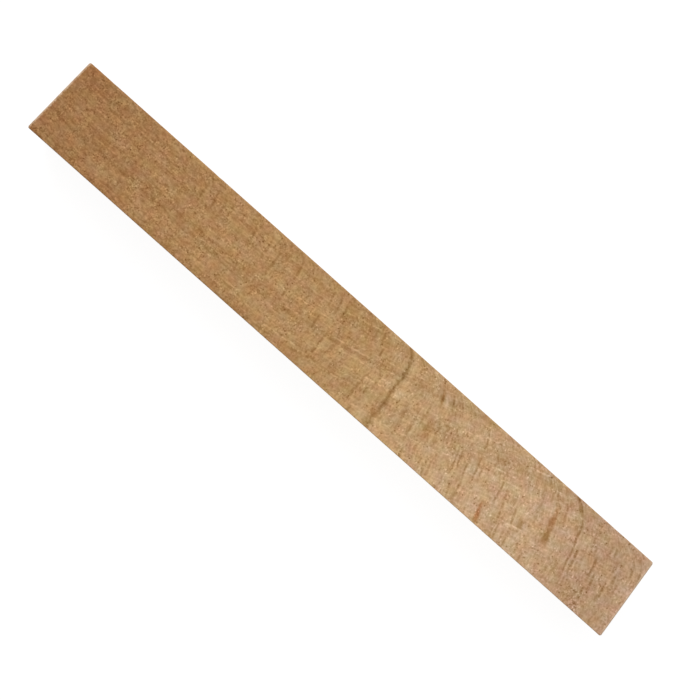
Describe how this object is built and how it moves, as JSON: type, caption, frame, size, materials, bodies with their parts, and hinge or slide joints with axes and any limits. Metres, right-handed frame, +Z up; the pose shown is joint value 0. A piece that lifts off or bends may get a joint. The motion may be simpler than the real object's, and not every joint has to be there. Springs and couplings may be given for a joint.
{
  "type": "beech square batten",
  "caption": "Short solid wooden batten of square section with eased arrises; both ends are crosscut a few degrees out of square. Used as a strip, spacer or packer.",
  "frame": {"origin": "middle of the bounding box's bottom, on the floor under the batten", "axes": "+X along the batten's length, towards the end that is crosscut further from square; +Y towards the shorter long edge; +Z up, out of the upper face"},
  "size_m": [0.085, 0.01, 0.01],
  "materials": {
    "beech": "matte"
  },
  "bodies": {
    "root": {"batten": "beech"}
  },
  "joints": []
}
